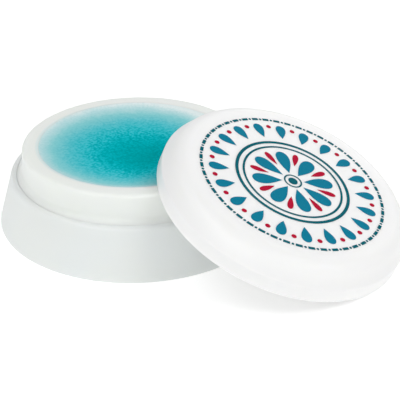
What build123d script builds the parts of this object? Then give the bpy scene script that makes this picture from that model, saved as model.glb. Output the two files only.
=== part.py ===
"""Finger moistener: a shallow dish of gel in a low conical base, with its push-on lid leaning on the rim.

The base stands on the table with its axis on Z. The lid leans towards the base from the +X side:
its outer edge stands on the table and its inner edges lie on the cup's rim. Sizes are in millimetres.
"""

import os
from math import atan2, cos, degrees, hypot, pi, radians, sin, sqrt, tan

from build123d import *

# Cup: flange, neck, rim and dish in one moulding
neck_radius = 35.5  # outside of the neck, at the rim
neck_rise = 8.6  # from the skirt's lip up to the rim
neck_draft = 0.5  # how much the neck widens down to the flange
neck_foot_round = 2.0
rim_round = 1.1
mouth_round = 0.4
cup_wall = 1.5
channel_width = 2.2  # hollow under the rim, between the neck's wall and the dish's wall
dish_depth = 9.3
dish_draft = 2.5  # how much the dish narrows down to its floor
dish_round = 7.0
flange_thickness = 1.3  # at its edge
flange_width = 1.6  # from the neck out to the flange's edge
flange_fall = 1.0  # how much the flange slopes down to its edge

# Gel
gel_level = 1.2  # from the rim down to the gel
gel_gap = 0.2  # between the gel's side and the dish

# Lid: its heights are counted from the rim of its wall
grip_gap = 0.1  # between the lid's collar and the neck's foot when the lid is on
collar_wall = 1.0
lid_channel = 0.95  # between the collar and the wall
lid_wall = 1.05
lid_skirt_height = 4.7
lid_draft = 0.1  # how much the wall narrows up to the bevel
bevel_run = 3.7
lid_top = 1.15
lid_edge_round = 0.3
bevel_foot_round = 1.0
lid_top_round = 5.0

# Liner
liner_thickness = 1.1
liner_gap = 0.25  # between the liner's edge and the rounded corner of the lid's ceiling
rest_gap = 0.2  # between the closed lid's wall and the skirt's lip, so that the liner seals first

# Base shell: a hollow conical skirt, open underneath
lip_overhang = 0.3  # from the closed lid's wall out to the lip's corner, before it is rounded
lip_height = 16.2
lip_round = 1.5
lip_land = 0.05  # least level width left between the lip's two rounds
seam_depth = 0.15  # from the lip down to the edge of the cup's flange
seam_gap = 0.05  # between the lip and the flange
seam_round = 0.25  # on the lip's edge beside the seam
foot_spread = 4.6  # how much wider the skirt stands on the table
foot_round = 0.3
skirt_wall = 1.8
ledge_reach = 2.2  # how far the ledge under the flange reaches in from the seam
ledge_thickness = 1.4

# Lean of the lid on the base
lean_reach = 15.0  # from the neck out to the middle of the lid's rim
lean_gap = 0.1  # left between the lid's inner edge and the cup's rim

# Radii, from the mouth of the dish out to the foot
mouth_radius = neck_radius - 2 * cup_wall - channel_width
dish_floor_radius = mouth_radius - dish_draft
neck_foot_radius = neck_radius + neck_draft
collar_radius = neck_foot_radius + grip_gap
collar_outer_radius = collar_radius + collar_wall
lid_wall_radius = collar_outer_radius + lid_channel
lid_radius = lid_wall_radius + lid_wall
lid_shoulder_radius = lid_radius - lid_draft
lid_top_radius = lid_shoulder_radius - bevel_run
lip_radius = lid_radius + lip_overhang
foot_radius = lip_radius + foot_spread
flange_radius = neck_foot_radius + flange_width
pocket_radius = flange_radius + seam_gap
ledge_radius = pocket_radius - ledge_reach

# Lip: its two rounds share the width between the seam and the skirt
skirt_slope = atan2(foot_spread, lip_height)
lip_round_room = (lip_radius - pocket_radius - seam_round - lip_land) / tan(pi / 4 - skirt_slope / 2)

# Heights over the table
flange_height = lip_height - seam_depth
flange_top = flange_height + flange_fall
neck_foot_bend = pi / 2 - atan2(flange_fall, flange_width)
neck_foot_top = flange_top + neck_foot_round * tan(neck_foot_bend / 2)
ledge_height = flange_height - flange_thickness
ledge_underside = ledge_height - ledge_thickness
rim_height = lip_height + neck_rise
channel_top = rim_height - cup_wall
dish_floor = rim_height - dish_depth
gel_top = rim_height - gel_level

# Heights over the rim of the lid's wall
liner_seat = neck_rise - rest_gap
lid_ceiling = liner_seat + liner_thickness
lid_height = lid_ceiling + lid_top
collar_foot = neck_foot_top - lip_height
bevel_rise = lid_height - lid_skirt_height
bevel_length = hypot(bevel_run, bevel_rise)


def skirt_inside(height):
    """Inner radius of the skirt's wall at a height."""
    outside = foot_radius - foot_spread * height / lip_height
    return outside - skirt_wall / cos(skirt_slope)


def dish_inside(height):
    """Radius of the dish's wall at a height."""
    return mouth_radius - dish_draft * (rim_height - height) / dish_depth


def bevel_inside(radius):
    """Height of the bevel's inner face at a radius of the lid."""
    outside = lid_skirt_height + (lid_shoulder_radius - radius) * bevel_rise / bevel_run
    return outside - lid_wall * bevel_length / bevel_run


def bevel_inner_radius(height):
    """Radius of the bevel's inner face at a height in the lid."""
    outside = lid_shoulder_radius - (height - lid_skirt_height) * bevel_run / bevel_rise
    return outside - lid_wall * bevel_length / bevel_rise


def lid_centre_height(tilt):
    """Height of the middle of the lid's rim when the rounded edge of its wall stands on the table."""
    edge_radius = lid_radius - lid_edge_round
    return edge_radius * sin(tilt) + lid_edge_round * (1 - cos(tilt))


def rim_surface(distance):
    """Height of the cup's rounded rim at a distance from the cup's axis."""
    past_round_start = max(distance - (neck_radius - rim_round), 0)
    return rim_height - rim_round + sqrt(rim_round**2 - past_round_start**2)


def lean_clearance(tilt):
    """Least height of the lid's two inner edges over the cup's rim at a tilt."""
    inner_edges = ((lid_wall_radius, 0), (collar_radius, collar_foot))
    steps = 360
    clearances = []
    for radius, height in inner_edges:
        for step in range(steps):
            turn = pi / 2 * step / steps
            uphill = radius * cos(turn)
            x = neck_radius + lean_reach - uphill * cos(tilt) + height * sin(tilt)
            y = radius * sin(turn)
            z = lid_centre_height(tilt) + uphill * sin(tilt) + height * cos(tilt)
            distance = hypot(x, y)
            if distance < neck_radius:
                clearances.append(z - rim_surface(distance))
    return min(clearances)


def lean_tilt():
    """Tilt at which the lid comes to lie on the cup's rim, found by halving."""
    low = radians(2)
    high = radians(60)
    halvings = 40
    for _ in range(halvings):
        middle = (low + high) / 2
        if lean_clearance(middle) < lean_gap:
            low = middle
        else:
            high = middle
    return high


def round_corner(profile, corner, radius):
    """Round one corner of a profile."""
    fillet(profile.vertices().sort_by_distance(corner)[0], radius=radius)


# The lid's seat: its Z axis is the lid's axis, and its X axis runs down the slope to the table
lid_tilt = lean_tilt()
lid_seat = Plane(
    origin=(neck_radius + lean_reach, 0, lid_centre_height(lid_tilt)),
    x_dir=(cos(lid_tilt), 0, -sin(lid_tilt)),
    z_dir=(sin(lid_tilt), 0, cos(lid_tilt)),
)
lid_profile_plane = Plane(lid_seat.origin, x_dir=lid_seat.x_dir, z_dir=-lid_seat.y_dir)
lid_axis = Axis(lid_seat.origin, lid_seat.z_dir)

# Base shell: the ledge inside its top carries the cup's flange
with BuildPart() as base_shell:
    with BuildSketch(Plane.XZ) as profile:
        with BuildLine():
            Polyline(
                (pocket_radius, lip_height),
                (pocket_radius, ledge_height),
                (ledge_radius, ledge_height),
                (ledge_radius, ledge_underside),
                (skirt_inside(ledge_underside), ledge_underside),
                (skirt_inside(0), 0),
                (foot_radius, 0),
                (lip_radius, lip_height),
                close=True,
            )
        make_face()
        round_corner(profile, (foot_radius, 0), foot_round)
        round_corner(profile, (lip_radius, lip_height), min(lip_round, lip_round_room))
        round_corner(profile, (pocket_radius, lip_height), seam_round)
    revolve(axis=Axis.Z)

# Cup: one wall runs down from the rim to the flange and another down to the dish's floor
with BuildPart() as cup_insert:
    with BuildSketch(Plane.XZ) as profile:
        with BuildLine():
            Polyline(
                (flange_radius, flange_height),
                (flange_radius, ledge_height),
                (neck_foot_radius - cup_wall, ledge_height),
                (neck_radius - cup_wall, channel_top),
                (mouth_radius + cup_wall, channel_top),
                (dish_floor_radius + cup_wall, dish_floor - cup_wall),
                (0, dish_floor - cup_wall),
                (0, dish_floor),
                (dish_floor_radius, dish_floor),
                (mouth_radius, rim_height),
                (neck_radius, rim_height),
                (neck_foot_radius, flange_top),
                close=True,
            )
        make_face()
        round_corner(profile, (dish_floor_radius, dish_floor), dish_round)
        round_corner(profile, (dish_floor_radius + cup_wall, dish_floor - cup_wall), dish_round + cup_wall)
        round_corner(profile, (mouth_radius, rim_height), mouth_round)
        round_corner(profile, (neck_radius, rim_height), rim_round)
        round_corner(profile, (neck_foot_radius, flange_top), neck_foot_round)
    revolve(axis=Axis.Z)

# Gel: it stands on the dish's flat floor
with BuildPart() as gel_fill:
    with BuildSketch(Plane.XZ) as profile:
        with BuildLine():
            Polyline(
                (0, dish_floor),
                (dish_floor_radius - gel_gap, dish_floor),
                (dish_inside(gel_top) - gel_gap, gel_top),
                (0, gel_top),
                close=True,
            )
        make_face()
        round_corner(profile, (dish_floor_radius - gel_gap, dish_floor), dish_round)
    revolve(axis=Axis.Z)

# Lid: wall, bevel and flat top, with a collar inside that grips the neck above its rounded foot
ceiling_radius = bevel_inner_radius(lid_ceiling)
ceiling_round = lid_top_round - lid_top
ceiling_flat_radius = ceiling_radius - ceiling_round * tan(atan2(bevel_rise, bevel_run) / 2)
collar_root = lid_wall / 2  # how far the collar's top runs into the bevel

with BuildPart() as lid_shell:
    with BuildSketch(lid_profile_plane) as profile:
        with BuildLine():
            Polyline(
                (0, lid_height),
                (lid_top_radius, lid_height),
                (lid_shoulder_radius, lid_skirt_height),
                (lid_radius, 0),
                (lid_wall_radius, 0),
                (lid_wall_radius, bevel_inside(lid_wall_radius)),
                (ceiling_radius, lid_ceiling),
                (0, lid_ceiling),
                close=True,
            )
        make_face()
        round_corner(profile, (lid_top_radius, lid_height), lid_top_round)
        round_corner(profile, (lid_shoulder_radius, lid_skirt_height), bevel_foot_round)
        round_corner(profile, (lid_radius, 0), lid_edge_round)
        round_corner(profile, (ceiling_radius, lid_ceiling), ceiling_round)
        with BuildLine():
            Polyline(
                (collar_radius, collar_foot),
                (collar_outer_radius, collar_foot),
                (collar_outer_radius, min(bevel_inside(collar_outer_radius), lid_ceiling) + collar_root),
                (collar_radius, min(bevel_inside(collar_radius), lid_ceiling) + collar_root),
                close=True,
            )
        make_face()
    revolve(axis=lid_axis)

# Liner: a disc against the lid's ceiling
liner_radius = min(ceiling_flat_radius, collar_radius) - liner_gap

with BuildPart() as lid_liner:
    with BuildSketch(lid_seat.offset(liner_seat)):
        Circle(liner_radius)
    extrude(amount=liner_thickness)

pieces = {
    "base_shell": base_shell,
    "cup_insert": cup_insert,
    "gel_fill": gel_fill,
    "lid_shell": lid_shell,
    "lid_liner": lid_liner,
}
os.makedirs("parts", exist_ok=True)
for name, piece in pieces.items():
    piece.part.label = name
    export_step(piece.part, f"parts/{name}.step")

cubic_millimetres_per_millilitre = 1000
print(f"gel {gel_fill.part.volume / cubic_millimetres_per_millilitre:.1f} ml")
print(f"foot radius {foot_radius:.2f}, lid radius {lid_radius:.2f}, mouth radius {mouth_radius:.2f}")
print(f"rim height {rim_height:.2f}, lid height {lid_height:.2f}, liner radius {liner_radius:.2f}")
print(f"lid tilt {degrees(lid_tilt):.2f} degrees, middle of its rim at {lid_seat.origin}")
print(f"lean clearance {lean_clearance(lid_tilt):.3f}")
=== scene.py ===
"""Looks of the finger moistener: white plastic, teal gel and a printed lid, on a studio floor."""

from math import cos, exp, hypot, pi, radians, sin

import bmesh
import bpy
from mathutils import Matrix, Vector, noise


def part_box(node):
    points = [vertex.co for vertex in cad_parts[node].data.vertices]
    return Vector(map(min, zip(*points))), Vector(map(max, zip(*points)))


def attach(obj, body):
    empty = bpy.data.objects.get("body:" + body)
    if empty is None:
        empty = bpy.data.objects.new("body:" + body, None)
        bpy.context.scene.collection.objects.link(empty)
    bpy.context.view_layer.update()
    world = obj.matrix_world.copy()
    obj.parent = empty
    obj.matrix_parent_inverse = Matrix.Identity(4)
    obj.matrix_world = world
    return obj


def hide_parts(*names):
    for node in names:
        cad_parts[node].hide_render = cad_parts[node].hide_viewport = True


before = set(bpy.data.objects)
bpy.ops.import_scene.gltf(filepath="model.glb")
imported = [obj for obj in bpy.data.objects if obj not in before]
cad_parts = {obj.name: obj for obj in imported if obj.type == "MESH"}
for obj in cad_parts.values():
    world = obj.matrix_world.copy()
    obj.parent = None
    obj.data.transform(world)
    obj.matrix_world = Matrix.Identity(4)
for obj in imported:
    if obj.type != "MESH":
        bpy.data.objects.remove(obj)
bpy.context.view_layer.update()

MM = 0.001

# Camera: where the photograph was taken from, round the middle of the base's foot
view_azimuth = radians(28.3)
view_elevation = radians(28.73)
view_roll = radians(-0.21)
view_distance = 390 * MM
aim_right = 20.34 * MM
aim_up = 3.33 * MM
lens_mm = 108
sensor_mm = 36

# Gel: its solid's shape, drawn out to the dish and up its wall
gel_skin = 0.2 * MM  # from the solid's side out to the dish
gel_climb = 1.17 * MM  # from its level up to its edge
gel_bite = 0.2 * MM  # from the wall's line out over the rounded mouth
gel_creep = 2.2 * MM  # length over which its climb dies away inwards
gel_dip = 0.2 * MM  # how much its middle sinks
gel_lump = 0.05 * MM  # height of the lumps on its surface
gel_lump_length = 7 * MM
gel_rows = 48
gel_row_crowding = 1.6  # over 1, the rows stand closer at its edge
gel_segments = 144

# Gel's colour: places in mm from the dish's middle
gel_dark_spot = (6.7, -6.1)  # where it is darkest: its depth plus painted shade from the lid, set towards the lid and the front
gel_lean = (-1.15, -1.0)  # the middle of the pale ring round it, set back and to the left: painted light on the gel's far side over its real thinning

# Film of gel on the rim, beside the gel's edge
film_lean = 0.5  # how far it follows the pale ring's middle
film_width = 0.5 * MM  # to each side of the gel's edge
film_drop = 1 * MM  # how far below the gel's level it has faded out
film_share = 0.42
film_tint = (0.55, 0.76, 0.77)

# Print on the lid, from its border inwards: sizes in mm on the lid's top
ink_proud = 0.03
ink_sunk = 0.02
border_count = 48
border_radius = 28.8
border_width = 1.0
border_dash_turn = 0.072  # length of a dash, in radians
border_dot_radius = 0.42
wreath_count = 20
wreath_drop = {"round_end": 26.6, "tip": 20.2, "width": 3.4}
wreath_dot_radius = 0.8
wreath_dot_place = 25.4  # from the lid's axis
drop_fullness = 0.65  # brings a drop's widest place to about its width
drop_taper = 1.2  # the larger, the slimmer a drop's tip
ring_bands = ((17.2, 18.2), (15.2, 15.9), (2.4, 2.9))  # inner and outer radii
ring_points = 180
petal_count = 8
wide_petal = {"round_end": 13.4, "tip": 3.6, "width": 4.6}
slim_petal = {"round_end": 13.6, "tip": 7.6, "width": 2.0}
eye_radius = 1.5

# Floor and light: sizes and places in metres
floor_reach = 3.0  # from its middle to each side
floor_fade_start = 0.25  # where it begins to clear, and where it has cleared
floor_fade_end = 0.5
floor_glow = 0.27
floor_glow_seen = 0.08  # added for rays that show the floor
surround_level = 0.385  # for rays that light the object; to the camera it is 1
lamp_aim = (0.02, 0, 0.01)


class Value:
    """One socket of a shader tree, for use in Python expressions."""

    def __init__(self, shading, socket):
        self.shading = shading
        self.socket = socket

    def __add__(self, other):
        return self.shading.math("ADD", self, other)

    def __radd__(self, other):
        return self.shading.math("ADD", other, self)

    def __sub__(self, other):
        return self.shading.math("SUBTRACT", self, other)

    def __rsub__(self, other):
        return self.shading.math("SUBTRACT", other, self)

    def __mul__(self, other):
        return self.shading.math("MULTIPLY", self, other)

    def __rmul__(self, other):
        return self.shading.math("MULTIPLY", other, self)

    def __truediv__(self, other):
        return self.shading.math("DIVIDE", self, other)

    def __rtruediv__(self, other):
        return self.shading.math("DIVIDE", other, self)


class Shading:
    """A shader tree of a material or the world, written as expressions."""

    def __init__(self, owner):
        self.owner = owner
        owner.use_nodes = True
        self.tree = owner.node_tree
        self.tree.nodes.clear()

    def node(self, kind, settings=None, inputs=None):
        """Add a node: its settings first, then its sockets; returns its outputs by identifier."""
        node = self.tree.nodes.new(kind)
        for name, value in (settings or {}).items():
            if name == "stops":
                self.set_stops(node.color_ramp, value)
            else:
                setattr(node, name, value)
        sockets = {socket.identifier: socket for socket in node.inputs}
        for name, value in (inputs or {}).items():
            if isinstance(value, Value):
                self.tree.links.new(value.socket, sockets[name])
            else:
                sockets[name].default_value = value
        return {socket.identifier: Value(self, socket) for socket in node.outputs}

    @staticmethod
    def set_stops(ramp, stops):
        while len(ramp.elements) < len(stops):
            ramp.elements.new(1.0)
        for element, (position, colour) in zip(ramp.elements, stops):
            element.position = position
            element.color = (*colour, 1)

    def math(self, operation, *operands):
        """A Math node of one or two operands, which are values or numbers."""
        inputs = dict(zip(("Value", "Value_001"), operands))
        return self.node("ShaderNodeMath", {"operation": operation}, inputs)["Value"]

    def point(self):
        """Place on the surface, in metres, in the frame of the piece."""
        return self.node("ShaderNodeTexCoord")["Object"]

    def split(self, vector):
        parts = self.node("ShaderNodeSeparateXYZ", {}, {"Vector": vector})
        return parts["X"], parts["Y"], parts["Z"]

    def reach(self, x, y):
        """Length of a level vector."""
        return self.math("SQRT", x * x + y * y)

    def noise(self, vector, scale, detail=2.0, roughness=0.5):
        """Soft lumps from 0 to 1; the scale is their count in a metre."""
        inputs = {"Vector": vector, "Scale": scale, "Detail": detail, "Roughness": roughness}
        return self.node("ShaderNodeTexNoise", {}, inputs)["Fac"]

    def cells(self, vector, scale):
        """Distance to the nearest of scattered points, as in foam; the scale is their count in a metre."""
        inputs = {"Vector": vector, "Scale": scale, "Randomness": 0.9}
        return self.node("ShaderNodeTexVoronoi", {}, inputs)["Distance"]

    def smooth(self, value, start, end, low=0.0, high=1.0):
        """A smooth step of a value between two limits."""
        settings = {"interpolation_type": "SMOOTHSTEP"}
        inputs = {"Value": value, "From Min": start, "From Max": end, "To Min": low, "To Max": high}
        return self.node("ShaderNodeMapRange", settings, inputs)["Result"]

    def mix(self, share, first, second):
        """A colour between two colours."""
        settings = {"data_type": "RGBA"}
        colours = [value if isinstance(value, Value) else (*value, 1) for value in (first, second)]
        inputs = {"Factor_Float": share, "A_Color": colours[0], "B_Color": colours[1]}
        return self.node("ShaderNodeMix", settings, inputs)["Result_Color"]

    def ramp(self, value, stops):
        return self.node("ShaderNodeValToRGB", {"stops": stops}, {"Fac": value})["Color"]

    def bump(self, height, strength, distance):
        inputs = {"Height": height, "Strength": strength, "Distance": distance}
        return self.node("ShaderNodeBump", {}, inputs)["Normal"]

    def seen_rays(self):
        """1 for rays that show a surface to the camera, straight, mirrored or through something clear."""
        rays = self.node("ShaderNodeLightPath")
        seen = self.math("MAXIMUM", rays["Is Camera Ray"], rays["Is Glossy Ray"])
        return self.math("MAXIMUM", seen, rays["Is Transmission Ray"])

    def surface(self, inputs):
        """Close a material's tree with one Principled shader."""
        shader = self.node("ShaderNodeBsdfPrincipled", {}, inputs)["BSDF"]
        self.node("ShaderNodeOutputMaterial", {}, {"Surface": shader})
        return self.owner


def new_finish(name):
    return Shading(bpy.data.materials.new(name))


def moulded_plastic(name, tint, cool_tint, grain_depth, beside_gel=False):
    """White moulded plastic: a satin skin with a fine grain and faint cloudy shifts of tint."""
    finish = new_finish(name)
    place = finish.point()
    cloud = finish.noise(place, 45.0, detail=3.0)
    grain = finish.noise(place, 2600.0, roughness=0.6)
    colour = finish.mix(finish.smooth(cloud, 0.35, 0.7), tint, cool_tint)
    if beside_gel:
        colour = under_gel_film(finish, place, colour)
    return finish.surface({
        "Base Color": colour,
        "Roughness": 0.36 + 0.12 * cloud + 0.06 * grain,
        "Normal": finish.bump(grain, strength=0.25, distance=grain_depth),
        "IOR": 1.49,
        "Subsurface Weight": 1.0,
        "Subsurface Radius": (1.0, 1.0, 0.95),
        "Subsurface Scale": 1.2 * MM,
    })


def under_gel_film(finish, place, colour):
    """A colour with a thin film of gel over it, along the gel's edge."""
    edge_radius = gel_edge()
    _, gel_level = side_of("gel_fill")[-1]
    x, y, z = finish.split(place)
    lean_x, lean_y = (film_lean * MM * offset for offset in gel_lean)
    distance = finish.reach(x - lean_x, y - lean_y)
    film = finish.smooth(distance, edge_radius + film_width, edge_radius - film_width, high=film_share)
    above_gel = finish.smooth(z, gel_level - film_drop, gel_level)
    return finish.mix(film * above_gel, colour, film_tint)


def closed_foam(name, tint, pore_tint):
    """Thin white packing foam: small closed cells in a matte sheet."""
    finish = new_finish(name)
    place = finish.point()
    cell = finish.cells(place, 900.0)
    fine = finish.noise(place, 4000.0)
    colour = finish.mix(finish.smooth(cell, 0.45, 0.8), tint, pore_tint)
    return finish.surface({
        "Base Color": colour,
        "Roughness": 0.75 + 0.15 * fine,
        "Normal": finish.bump(cell + 0.3 * fine, strength=0.5, distance=0.15 * MM),
        "IOR": 1.4,
    })


def gel_fade_share(finish, place, radius):
    """Share of the way from the gel's dark spot (its depth plus painted shade from the lid) out to its pale
    ring, which has some radius.
    """
    x, y, _ = finish.split(place)
    spot_x, spot_y = gel_dark_spot
    lean_x, lean_y = gel_lean
    from_spot_x = x / MM - spot_x
    from_spot_y = y / MM - spot_y
    distance_squared = from_spot_x * from_spot_x + from_spot_y * from_spot_y
    along = from_spot_x * (spot_x - lean_x) + from_spot_y * (spot_y - lean_y)
    room = (radius / MM) ** 2 - (spot_x - lean_x) ** 2 - (spot_y - lean_y) ** 2
    return (along + finish.math("SQRT", along * along + room * distance_squared)) / room


def moistening_gel(name, radius):
    """Teal gel: pale where it thins out along the dish, dark over one spot towards the lid (its depth plus
    painted shade of the lid), finely grained.
    """
    finish = new_finish(name)
    place = finish.point()
    thin = gel_fade_share(finish, place, radius)
    grain = finish.noise(place, 1250.0, detail=1.0)
    cloud = finish.noise(place, 150.0)
    # 1 at the dark spot, fading outwards: the gel's depth together with the lid's painted shade over it
    depth_and_shade = finish.smooth(thin, 0.35, 0.9, low=1.0, high=0.08)
    paleness = thin + 0.5 * depth_and_shade * (grain - 0.5) + 0.08 * (cloud - 0.5)
    colour = finish.ramp(paleness, (
        (0.12, (0.0003, 0.40, 0.435)),
        (0.35, (0.0013, 0.465, 0.52)),
        (0.46, (0.010, 0.515, 0.59)),
        (0.58, (0.052, 0.555, 0.635)),
        (0.69, (0.110, 0.575, 0.645)),
        (0.83, (0.255, 0.65, 0.685)),
        (0.93, (0.51, 0.76, 0.785)),
        (1.0, (0.80, 0.89, 0.89)),
    ))
    speck_tint = (0.0, 0.27, 0.30)
    dark_speck = depth_and_shade * finish.smooth(grain, 0.6, 0.3, high=0.38)
    return finish.surface({
        "Base Color": finish.mix(dark_speck, colour, speck_tint),
        "Roughness": 0.5 + 0.15 * grain,
        "Normal": finish.bump(grain, strength=0.3, distance=0.05 * MM),
        "IOR": 1.36,
        "Specular IOR Level": 0.0,
    })


def screen_ink(name, tint, worn_tint):
    """Screen ink on plastic: an even matte film, a little thinner in fine specks."""
    finish = new_finish(name)
    place = finish.point()
    speck = finish.noise(place, 3000.0)
    colour = finish.mix(finish.smooth(speck, 0.55, 0.8), tint, worn_tint)
    return finish.surface({
        "Base Color": colour,
        "Roughness": 0.42 + 0.15 * speck,
        "Normal": finish.bump(speck, strength=0.2, distance=0.01 * MM),
        "IOR": 1.49,
        "Specular IOR Level": 0.02,
    })


def dress(node_name, material):
    """Give a piece of the frame its finish."""
    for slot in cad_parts[node_name].material_slots:
        slot.material = material


def base_shell():
    """Skirt, in a greyish white."""
    tint, cool_tint = (0.785, 0.81, 0.795), (0.775, 0.805, 0.80)
    dress("base_shell", moulded_plastic("base_plastic", tint, cool_tint, grain_depth=0.02 * MM))


def cup_insert():
    """Cup, in a lighter white, with a film of gel on its rim."""
    tint, cool_tint = (0.84, 0.87, 0.835), (0.83, 0.855, 0.835)
    plastic = moulded_plastic("cup_plastic", tint, cool_tint, grain_depth=0.015 * MM, beside_gel=True)
    dress("cup_insert", plastic)


def lid_shell():
    """Lid, in the cleanest white."""
    tint, cool_tint = (0.88, 0.88, 0.875), (0.872, 0.876, 0.872)
    dress("lid_shell", moulded_plastic("lid_plastic", tint, cool_tint, grain_depth=0.015 * MM))


def lid_liner():
    """Foam disc inside the lid."""
    dress("lid_liner", closed_foam("liner_foam", tint=(0.84, 0.84, 0.82), pore_tint=(0.76, 0.76, 0.75)))


def add_piece(name, shape, body, material):
    """Make a piece from a bmesh, riding on a body."""
    mesh = bpy.data.meshes.new(name)
    bmesh.ops.recalc_face_normals(shape, faces=shape.faces)
    shape.to_mesh(mesh)
    shape.free()
    mesh.materials.append(material)
    piece = bpy.data.objects.new(name, mesh)
    bpy.context.scene.collection.objects.link(piece)
    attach(piece, body)
    return piece


def turned(outline, segments):
    """Closed shape of revolution about Z, from an outline that starts and ends on the axis."""
    shape = bmesh.new()
    angles = [2 * pi * index / segments for index in range(segments)]
    rings = []
    for radius, height in outline[1:-1]:
        rings.append([shape.verts.new((radius * cos(a), radius * sin(a), height)) for a in angles])
    for lower, upper in zip(rings, rings[1:]):
        for index in range(segments):
            shape.faces.new((lower[index - 1], lower[index], upper[index], upper[index - 1]))
    for ring, (_, height) in ((rings[0], outline[0]), (rings[-1], outline[-1])):
        pole = shape.verts.new((0, 0, height))
        for index in range(segments):
            shape.faces.new((ring[index - 1], ring[index], pole))
    for face in shape.faces:
        face.smooth = True
    return shape


def side_of(node_name):
    """Radius and height of a turned piece's side, from its floor up, read from the rows of its mesh."""
    rows = {}
    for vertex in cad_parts[node_name].data.vertices:
        x, y, z = vertex.co
        height = round(z, 6)
        rows[height] = max(rows.get(height, 0), hypot(x, y))
    return [(radius, height) for height, radius in sorted(rows.items())]


def gel_edge():
    """Radius of the gel's edge, where it has climbed up the dish's wall."""
    (low_radius, low_height), (top_radius, top_height) = side_of("gel_fill")[-2:]
    wall_slope = (top_radius - low_radius) / (top_height - low_height)
    return top_radius + gel_skin + wall_slope * gel_climb + gel_bite


def gel():
    """Gel that fills the dish, drawn up its wall, with a surface that is nearly level."""
    side = side_of("gel_fill")
    edge_radius = gel_edge()
    _, floor_height = side[0]
    _, top_height = side[-1]
    outline = [(0, floor_height)]
    outline += [(radius + gel_skin, height) for radius, height in side]
    for row in range(gel_rows):
        radius = edge_radius * (1 - (row / gel_rows) ** gel_row_crowding)
        rise = gel_climb * exp((radius - edge_radius) / gel_creep)
        dip = gel_dip * (1 - (radius / edge_radius) ** 2)
        outline.append((radius, top_height + rise - dip))
    outline.append((0, top_height - gel_dip))
    shape = turned(outline, gel_segments)
    for vertex in shape.verts:
        if vertex.co.z > top_height - 2 * gel_dip:
            level = min((edge_radius - hypot(vertex.co.x, vertex.co.y)) / gel_creep, 1)
            place = Vector((vertex.co.x, vertex.co.y, 0)) / gel_lump_length
            vertex.co.z += gel_lump * level * noise.noise(place)
    piece = add_piece("gel", shape, "base", moistening_gel("gel_teal", edge_radius))
    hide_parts("gel_fill")


def lid_top():
    """Frame on the lid's flat top: its origin is on the lid's axis, X runs down the slope, Z stands on it."""
    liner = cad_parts["lid_liner"].data
    normal = max(liner.polygons, key=lambda face: (round(face.area, 9), face.normal.z)).normal.copy()
    if normal.z < 0:
        normal = -normal
    low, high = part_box("lid_liner")
    middle = (Vector(low) + Vector(high)) / 2
    top = max(vertex.co.dot(normal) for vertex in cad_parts["lid_shell"].data.vertices)
    origin = middle + normal * (top - middle.dot(normal))
    side = Vector((0, 1, 0))
    down = side.cross(normal).normalized()
    turn = Matrix((down, normal.cross(down), normal)).transposed()
    return Matrix.Translation(origin) @ turn.to_4x4()


def polar(radius, angle, sideways=0.0):
    """Point at a radius and an angle on the lid's top, and some way to the side of that line."""
    return radius * cos(angle) - sideways * sin(angle), radius * sin(angle) + sideways * cos(angle)


def circle(radius, points=24, centre=(0.0, 0.0)):
    """Outline of a circle on the lid's top."""
    turns = [2 * pi * index / points for index in range(points)]
    return [(centre[0] + radius * cos(turn), centre[1] + radius * sin(turn)) for turn in turns]


def drop(angle, round_end, tip, width, points=32):
    """Outline of a water drop on a spoke of the lid, between the radii of its round end and its tip."""
    outline = []
    for index in range(points):
        turn = 2 * pi * index / points
        radius = (tip + round_end) / 2 + (tip - round_end) / 2 * cos(turn)
        taper = abs(sin(turn / 2)) ** drop_taper
        outline.append(polar(radius, angle, drop_fullness * width * sin(turn) * taper))
    return outline


def dash(angle, radius, width, turn, steps=6):
    """Outline of a short stretch of a ring, with its middle at an angle."""
    turns = [angle + turn * (step / steps - 0.5) for step in range(steps + 1)]
    outside = [polar(radius + width / 2, place) for place in turns]
    inside = [polar(radius - width / 2, place) for place in reversed(turns)]
    return outside + inside


def spokes(count, offset=0.0):
    """Angles of evenly spaced spokes; the offset is a share of their spacing."""
    return [2 * pi * (index + offset) / count for index in range(count)]


def add_patch(shape, outline):
    """A film of ink over an outline."""
    low = [shape.verts.new((x, y, -ink_sunk)) for x, y in outline]
    high = [shape.verts.new((x, y, ink_proud)) for x, y in outline]
    shape.faces.new(high)
    shape.faces.new(reversed(low))
    for index in range(len(outline)):
        shape.faces.new((low[index - 1], low[index], high[index], high[index - 1]))


def add_ring(shape, inner, outer):
    """A film of ink between two outlines with as many points."""
    levels = ((inner, -ink_sunk), (outer, -ink_sunk), (outer, ink_proud), (inner, ink_proud))
    loops = [[shape.verts.new((x, y, height)) for x, y in outline] for outline, height in levels]
    for first, second in zip(loops, loops[1:] + loops[:1]):
        for index in range(len(inner)):
            shape.faces.new((first[index - 1], first[index], second[index], second[index - 1]))


def add_print(name, ink, patches, bands=()):
    """One ink's share of the print, on the lid's top."""
    shape = bmesh.new()
    for outline in patches:
        add_patch(shape, outline)
    for inner, outer in bands:
        add_ring(shape, circle(inner, ring_points), circle(outer, ring_points))
    shape.transform(lid_top() @ Matrix.Scale(MM, 4))
    add_piece(name, shape, "lid", ink)


def print_teal():
    """Border of dashes and dots, three rings and the eye in the middle."""
    patches = []
    for angle in spokes(border_count):
        patches.append(dash(angle, border_radius, border_width, border_dash_turn))
    for angle in spokes(border_count, offset=0.5):
        patches.append(circle(border_dot_radius, points=16, centre=polar(border_radius, angle)))
    patches.append(circle(eye_radius, points=32))
    ink = screen_ink("print_teal", tint=(0.0, 0.115, 0.15), worn_tint=(0.01, 0.15, 0.185))
    add_print("print_teal", ink, patches, ring_bands)


def print_blue():
    """Wreath of drops, and the wide petals."""
    patches = [drop(angle, **wreath_drop) for angle in spokes(wreath_count)]
    patches += [drop(angle, **wide_petal) for angle in spokes(petal_count)]
    ink = screen_ink("print_blue", tint=(0.0, 0.195, 0.31), worn_tint=(0.01, 0.23, 0.345))
    add_print("print_blue", ink, patches)


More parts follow.
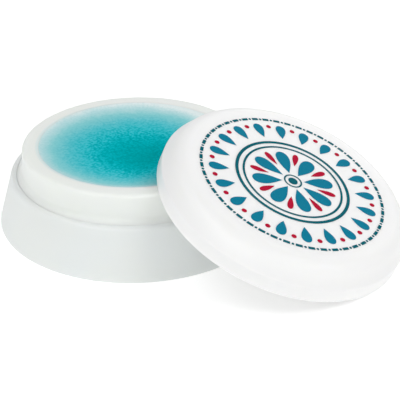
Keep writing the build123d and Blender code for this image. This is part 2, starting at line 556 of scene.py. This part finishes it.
def print_crimson():
    """Dots between the wreath's drops, and the slim petals between the wide ones."""
    patches = []
    for angle in spokes(wreath_count, offset=0.5):
        patches.append(circle(wreath_dot_radius, centre=polar(wreath_dot_place, angle)))
    for angle in spokes(petal_count, offset=0.5):
        patches.append(drop(angle, **slim_petal))
    ink = screen_ink("print_crimson", tint=(0.47, 0.003, 0.033), worn_tint=(0.5, 0.02, 0.06))
    add_print("print_crimson", ink, patches)


def floor():
    """Pale floor that keeps the object's shadow, and is clear far off and from below."""
    mesh = bpy.data.meshes.new("floor")
    signs = ((-1, -1), (1, -1), (1, 1), (-1, 1))
    mesh.from_pydata([(x * floor_reach, y * floor_reach, 0) for x, y in signs], [], [(0, 1, 2, 3)])
    piece = bpy.data.objects.new("floor", mesh)
    bpy.context.scene.collection.objects.link(piece)
    finish = new_finish("floor_white")
    matte = finish.node("ShaderNodeBsdfDiffuse", {}, {"Color": (0.92, 0.92, 0.92, 1)})["BSDF"]
    strength = floor_glow + floor_glow_seen * finish.seen_rays()
    glow = finish.node("ShaderNodeEmission", {}, {"Color": (1, 1, 1, 1), "Strength": strength})["Emission"]
    upper = finish.node("ShaderNodeAddShader", {}, {"Shader": matte, "Shader_001": glow})["Shader"]
    clear = finish.node("ShaderNodeBsdfTransparent")["BSDF"]
    from_below = finish.node("ShaderNodeNewGeometry")["Backfacing"]
    x, y, _ = finish.split(finish.point())
    far_off = finish.smooth(finish.reach(x, y), floor_fade_start, floor_fade_end)
    fade = {"Fac": finish.math("MAXIMUM", from_below, far_off), "Shader": upper, "Shader_001": clear}
    shader = finish.node("ShaderNodeMixShader", {}, fade)["Shader"]
    finish.node("ShaderNodeOutputMaterial", {}, {"Surface": shader})
    mesh.materials.append(finish.owner)


def outward(azimuth, elevation):
    """Direction from the object to a lamp or the camera."""
    return Vector((sin(azimuth) * cos(elevation), -cos(azimuth) * cos(elevation), sin(elevation)))


def lamp(name, azimuth, elevation, distance, size, power):
    """A round lamp that faces the object; its azimuth counts from the camera's, to the right."""
    data = bpy.data.lights.new(name, "AREA")
    data.shape = "DISK"
    data.size = size
    data.energy = power
    piece = bpy.data.objects.new(name, data)
    bpy.context.scene.collection.objects.link(piece)
    back = outward(view_azimuth + radians(azimuth), radians(elevation))
    piece.location = Vector(lamp_aim) + back * distance
    piece.rotation_mode = "QUATERNION"
    piece.rotation_quaternion = (-back).to_track_quat("-Z", "Y")


def light():
    """Soft studio light: an even white surround, three wide lamps and a small near one on the lid's side."""
    surround = Shading(bpy.data.worlds.new("studio"))
    bpy.context.scene.world = surround.owner
    strength = surround_level + (1 - surround_level) * surround.seen_rays()
    background = surround.node("ShaderNodeBackground", {}, {"Color": (1, 1, 1, 1), "Strength": strength})
    surround.node("ShaderNodeOutputWorld", {}, {"Surface": background["Background"]})
    lamp("front_lamp", azimuth=-28, elevation=28, distance=1.0, size=0.6, power=2.65)
    lamp("left_lamp", azimuth=-72, elevation=60, distance=1.0, size=0.6, power=1.9)
    lamp("right_lamp", azimuth=60, elevation=40, distance=0.42, size=0.22, power=0.42)
    lamp("back_lamp", azimuth=150, elevation=30, distance=1.0, size=0.6, power=2.2)


def camera():
    """Camera at the photograph's place."""
    data = bpy.data.cameras.new("camera")
    data.lens = lens_mm
    data.sensor_width = sensor_mm
    data.clip_start = 0.01
    data.clip_end = 20
    piece = bpy.data.objects.new("camera", data)
    bpy.context.scene.collection.objects.link(piece)
    bpy.context.scene.camera = piece
    back = outward(view_azimuth, view_elevation)
    turn = (-back).to_track_quat("-Z", "Y").to_matrix()
    right = turn @ Vector((1, 0, 0))
    up = turn @ Vector((0, 1, 0))
    place = right * aim_right + up * aim_up + back * view_distance
    rolled = turn @ Matrix.Rotation(view_roll, 3, "Z")
    piece.matrix_world = Matrix.Translation(place) @ rolled.to_4x4()


base_shell()
cup_insert()
lid_shell()
lid_liner()
gel()
print_teal()
print_blue()
print_crimson()

bpy.context.scene.view_settings.view_transform = "Standard"
floor()
light()
camera()
